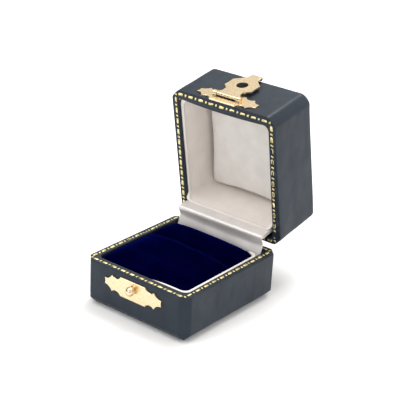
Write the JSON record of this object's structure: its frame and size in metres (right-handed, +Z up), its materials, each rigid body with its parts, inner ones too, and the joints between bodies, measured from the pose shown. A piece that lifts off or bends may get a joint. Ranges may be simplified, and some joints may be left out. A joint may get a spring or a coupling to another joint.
{
  "type": "ring box",
  "caption": "Hinged square ring box in navy leatherette with gilt-tooled rims, a velvet slotted ring pad, a satin-lined lid and a folding brass hasp over a ball stud.",
  "frame": {"origin": "centre of the base's underside, on the surface that the box stands on", "axes": "+X to the right seen from the front, +Y to the rear where the hinge is, +Z up; the lid is at its open stop"},
  "size_m": [0.05, 0.0865, 0.0816],
  "materials": {
    "wood_carcass": "raw softwood, hidden under the leatherette and lining",
    "navy_leatherette": "dark navy leatherette, fine grain, soft sheen",
    "foot_sheet": "dark leather paper under the base",
    "cream_lining": "warm cream smooth lining over board",
    "card": "grey-brown pasteboard",
    "foam": "soft open foam",
    "navy_velvet": "deep navy-blue velvet pile",
    "brass": "stamped brass with a fine stippled, lacquered face",
    "steel_hinge": "plated steel sheet",
    "hinge_satin": "silver-white satin",
    "cushion_satin": "cream satin"
  },
  "bodies": {
    "base": {"base_carcass": "wood_carcass", "base_cover": "navy_leatherette", "base_foot_sheet": "foot_sheet", "base_lining": "cream_lining", "pad_card": "card", "front_roll_foam": "foam", "front_roll_velvet": "navy_velvet", "rear_roll_foam": "foam", "rear_roll_velvet": "navy_velvet", "keeper_plate": "brass", "ball_stud": "brass", "base_hinge_leaf": "steel_hinge", "base_hinge_rivets": "steel_hinge", "hinge_pin": "steel_hinge", "hinge_ribbon": "hinge_satin"},
    "lid": {"lid_carcass": "wood_carcass", "lid_cover": "navy_leatherette", "lid_lining": "cream_lining", "lid_card": "card", "lid_cushion_foam": "foam", "lid_cushion_satin": "cushion_satin", "lid_hinge_leaf": "steel_hinge", "lid_hinge_rivets": "steel_hinge", "skirt_board": "card", "skirt_satin": "hinge_satin", "hasp_plate": "brass", "hasp_pin": "brass"},
    "hasp": {"hasp_tongue": "brass"}
  },
  "joints": [
    {"name": "lid_hinge", "type": "hinge", "parent": "base", "child": "lid", "pos_m": [0, 0.0293, 0.0185], "axis": [1, 0, 0], "range_deg": [0, 79.5], "deforming": ["hinge_ribbon"]},
    {"name": "hasp_hinge", "type": "hinge", "parent": "lid", "child": "hasp", "pos_m": [0, 0.02334, 0.07755], "axis": [1, 0, 0], "range_deg": [0, 180]}
  ]
}
